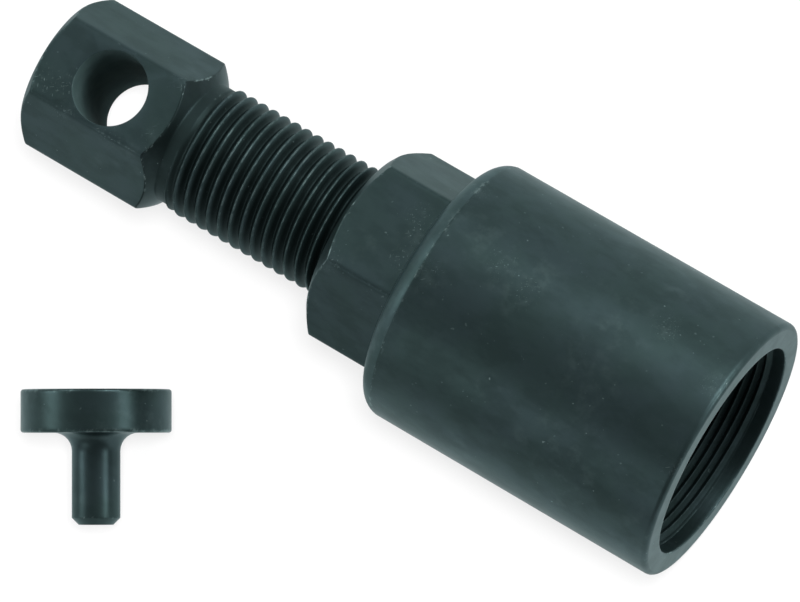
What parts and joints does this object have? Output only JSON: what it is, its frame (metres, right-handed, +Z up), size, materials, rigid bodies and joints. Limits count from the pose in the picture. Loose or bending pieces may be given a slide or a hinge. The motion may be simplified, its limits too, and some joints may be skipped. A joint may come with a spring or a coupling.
{
  "type": "screw-type hub puller",
  "caption": "Screw-type hub puller: a turned steel sleeve with a wrench hex and threaded mouth, a forcing screw with a cross-drilled hex head, and a loose mushroom-shaped thrust pad.",
  "frame": {"origin": "centre of the bounding box of the puller and its pad, on the ground they lie on", "axes": "+X along the screw axis, out of the open mouth; +Z up from the ground; the pad lies on the -Y side"},
  "size_m": [0.0892, 0.0618, 0.032],
  "materials": {
    "body_steel": "turned, black oxide with a green-blue cast, satin",
    "screw_steel": "turned, black oxide with a green-blue cast, satin",
    "pad_steel": "fine turned, black oxide with a green-blue cast, semi-gloss"
  },
  "bodies": {
    "body": {"puller_body": "body_steel"},
    "screw": {"forcing_screw": "screw_steel"},
    "pad": {"thrust_pad": "pad_steel"}
  },
  "joints": [
    {"name": "screw_feed", "type": "slide", "parent": "body", "child": "screw", "axis": [1, 0, 0], "range_m": [-0.015, 0.0225]},
    {"name": "pad_lift", "type": "slide", "parent": "body", "child": "pad", "axis": [0, 0, 1], "range_m": [0, 0.05]}
  ]
}
